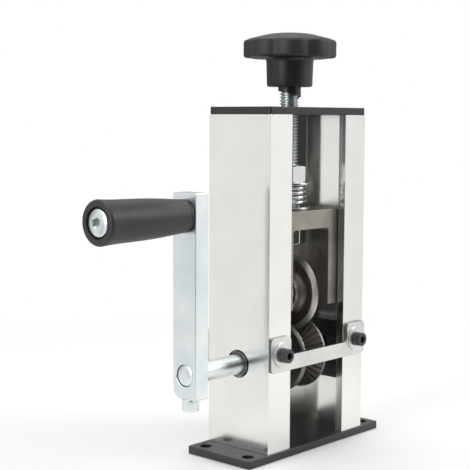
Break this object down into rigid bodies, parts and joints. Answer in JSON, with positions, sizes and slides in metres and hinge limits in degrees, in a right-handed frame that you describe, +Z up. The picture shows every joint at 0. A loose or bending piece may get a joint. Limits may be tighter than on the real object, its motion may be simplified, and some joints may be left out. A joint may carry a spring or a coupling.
{
  "type": "hand crank wire stripper",
  "caption": "Bench wire stripper: a crank turns a grooved roller, and a screw with a star knob sets the cutting wheel above it.",
  "frame": {"origin": "centre of the base plate's underside", "axes": "+Z up; +X along the drive shaft, with the crank at -X; the cable runs along Y"},
  "size_m": [0.2204, 0.064, 0.2538],
  "materials": {
    "mill_aluminium": "mill finish, bright, with faint lines along the channel",
    "black_plate": "satin black coat over steel, slightly worn at the edges",
    "black_block": "black anodised",
    "black_steel": "black oxide with a light oil sheen",
    "zinc_steel": "bright zinc plate",
    "guide_steel": "satin zinc plate",
    "bearing_steel": "ground and polished",
    "machined_steel": "machined, with mill marks",
    "blade_steel": "turned and hardened, with a bright ground edge",
    "roller_steel": "dark hardened, with brighter lands",
    "spring_steel": "bright drawn wire",
    "black_plastic": "moulded, satin",
    "grip_plastic": "moulded, matt"
  },
  "bodies": {
    "frame": {"base_plate": "black_plate", "top_plate": "black_plate", "left_channel": "mill_aluminium", "right_channel": "mill_aluminium", "front_guide_bar": "guide_steel", "rear_guide_bar": "guide_steel", "left_bearing_block": "black_block", "right_bearing_block": "black_block", "left_shaft_bearing_outer_ring": "bearing_steel", "right_shaft_bearing_outer_ring": "bearing_steel", "right_rear_base_plate_screw": "black_steel", "left_rear_base_plate_screw": "black_steel", "right_front_base_plate_screw": "black_steel", "left_front_base_plate_screw": "black_steel", "right_rear_top_plate_screw": "black_steel", "left_rear_top_plate_screw": "black_steel", "right_front_top_plate_screw": "black_steel", "left_front_top_plate_screw": "black_steel", "right_rear_guide_washer": "zinc_steel", "left_rear_guide_washer": "zinc_steel", "right_front_guide_washer": "zinc_steel", "left_front_guide_washer": "zinc_steel", "right_rear_guide_screw": "black_steel", "left_rear_guide_screw": "black_steel", "right_front_guide_screw": "black_steel", "left_front_guide_screw": "black_steel"},
    "lift": {"upper_spring_washer": "zinc_steel", "pressure_spring": "spring_steel"},
    "screw": {"adjusting_screw": "zinc_steel", "knob": "black_plastic", "knob_insert": "zinc_steel", "upper_nut": "zinc_steel", "lower_nut": "zinc_steel"},
    "carriage": {"carriage": "machined_steel", "lower_spring_washer": "zinc_steel", "wheel_axle": "zinc_steel", "left_axle_sleeve": "zinc_steel", "right_axle_sleeve": "zinc_steel", "left_axle_set_screw": "black_steel", "right_axle_set_screw": "black_steel", "left_wheel_bearing_inner_ring": "bearing_steel", "right_wheel_bearing_inner_ring": "bearing_steel"},
    "cutter": {"cutting_wheel": "blade_steel", "left_wheel_bearing_outer_ring": "bearing_steel", "right_wheel_bearing_outer_ring": "bearing_steel"},
    "drive": {"drive_shaft": "zinc_steel", "feed_roller": "roller_steel", "roller_key": "bearing_steel", "left_roller_sleeve": "zinc_steel", "right_roller_sleeve": "zinc_steel", "crank_sleeve": "bearing_steel", "left_shaft_bearing_inner_ring": "bearing_steel", "right_shaft_bearing_inner_ring": "bearing_steel", "shaft_retaining_ring": "black_steel", "crank_arm": "zinc_steel", "clamp_screw": "zinc_steel", "clamp_washer": "zinc_steel", "grip_bolt": "zinc_steel", "grip_washer": "zinc_steel"},
    "grip": {"grip": "grip_plastic"}
  },
  "joints": [
    {"name": "adjust_lift", "type": "slide", "parent": "frame", "child": "lift", "axis": [0, 0, 1], "range_m": [-0.0045, 0.03]},
    {"name": "knob_turn", "type": "hinge", "parent": "lift", "child": "screw", "pos_m": [0, 0, 0.2], "axis": [0, 0, 1], "range_deg": [-810.1, 5400.1]},
    {"name": "carriage_float", "type": "slide", "parent": "lift", "child": "carriage", "axis": [0, 0, 1], "range_m": [0, 0.003], "stiffness_N_per_m": 5000, "springref_m": -0.004, "deforming": ["pressure_spring"]},
    {"name": "wheel_spin", "type": "hinge", "parent": "carriage", "child": "cutter", "pos_m": [0, 0, 0.095], "axis": [1, 0, 0], "continuous": true},
    {"name": "crank_turn", "type": "hinge", "parent": "frame", "child": "drive", "pos_m": [0, 0, 0.056], "axis": [1, 0, 0], "continuous": true},
    {"name": "grip_spin", "type": "hinge", "parent": "drive", "child": "grip", "pos_m": [-0.12, 0, 0.1474], "axis": [1, 0, 0], "continuous": true}
  ],
  "couplings": [
    {"joint": "knob_turn", "follows": "adjust_lift", "rad_per_m": 3141.6}
  ]
}
